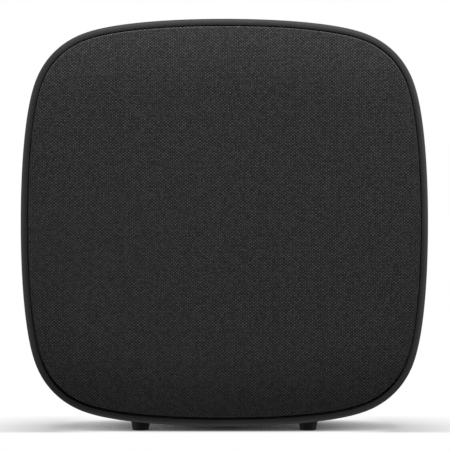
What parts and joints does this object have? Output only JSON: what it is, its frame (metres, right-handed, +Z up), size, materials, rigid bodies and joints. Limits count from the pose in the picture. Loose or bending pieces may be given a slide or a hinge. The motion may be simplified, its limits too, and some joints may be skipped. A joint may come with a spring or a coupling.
{
  "type": "smart home hub",
  "caption": "Free-standing rounded-square smart home hub with a cloth-covered speaker front, rubber feet and ports, pairing button and vents at the back.",
  "frame": {"origin": "middle of the footprint, on the surface that the rubber feet stand on", "axes": "+Z up, the cloth front faces -Y, +X to the right as seen from the front"},
  "size_m": [0.13, 0.046, 0.1317],
  "materials": {
    "housing_plastic": "satin",
    "inner_plastic": "matte",
    "cloth": "woven",
    "foam": "matte",
    "rubber": "matte",
    "cone_paper": "matte",
    "copper": "satin",
    "spider_cloth": "woven",
    "zinc_steel": "satin",
    "screw_steel": "satin",
    "black_screw": "satin",
    "lead_jacket": "satin",
    "connector_plastic": "matte",
    "connector_black": "satin",
    "circuit_board": "satin",
    "chip_epoxy": "matte",
    "silicone_pad": "matte",
    "heat_sink_aluminium": "satin",
    "capacitor_sleeve": "satin",
    "jack_shield": "satin",
    "gold_contact": "polished",
    "light_lens": "polished",
    "button_plastic": "satin",
    "label_film": "satin"
  },
  "bodies": {
    "housing": {"front_housing": "housing_plastic", "rear_housing": "housing_plastic", "grille_panel": "inner_plastic", "acoustic_cloth": "cloth", "speaker_baffle": "inner_plastic", "speaker_gasket": "foam", "speaker_basket": "inner_plastic", "speaker_surround": "rubber", "speaker_spider": "spider_cloth", "magnet_cup": "zinc_steel", "speaker_magnet": "zinc_steel", "pole_piece": "zinc_steel", "speaker_screws": "screw_steel", "speaker_leads": "lead_jacket", "speaker_connector": "connector_plastic", "main_board": "circuit_board", "processor": "chip_epoxy", "thermal_pad": "silicone_pad", "heat_sink": "heat_sink_aluminium", "memory_chips": "chip_epoxy", "radio_shields": "zinc_steel", "capacitors": "capacitor_sleeve", "side_antennas": "circuit_board", "top_antenna": "circuit_board", "antenna_leads": "lead_jacket", "ethernet_jack": "jack_shield", "ethernet_contacts": "gold_contact", "link_lights": "light_lens", "power_jack": "connector_black", "power_pin": "jack_shield", "usb_shell": "jack_shield", "usb_tongue": "connector_black", "sync_switch": "zinc_steel", "reset_switch": "zinc_steel", "status_led": "light_lens", "light_pipe": "light_lens", "rating_label": "label_film", "case_screws": "black_screw", "board_screws": "screw_steel", "baffle_screws": "screw_steel", "front_feet": "rubber", "rear_feet": "rubber"},
    "sync_button": {"sync_button": "button_plastic", "sync_plunger": "connector_black"},
    "reset_plunger": {"reset_plunger": "connector_black"},
    "speaker_cone": {"speaker_cone": "cone_paper", "dust_cap": "cone_paper", "voice_coil": "copper"}
  },
  "joints": [
    {"name": "sync_press", "type": "slide", "parent": "housing", "child": "sync_button", "axis": [0, -1, 0], "range_m": [0, 0.0005], "stiffness_N_per_m": 900},
    {"name": "reset_press", "type": "slide", "parent": "housing", "child": "reset_plunger", "axis": [0, -1, 0], "range_m": [0, 0.0004], "stiffness_N_per_m": 700},
    {"name": "cone_travel", "type": "slide", "parent": "housing", "child": "speaker_cone", "axis": [0, -1, 0], "range_m": [-0.0008, 0.0008], "stiffness_N_per_m": 1200}
  ]
}
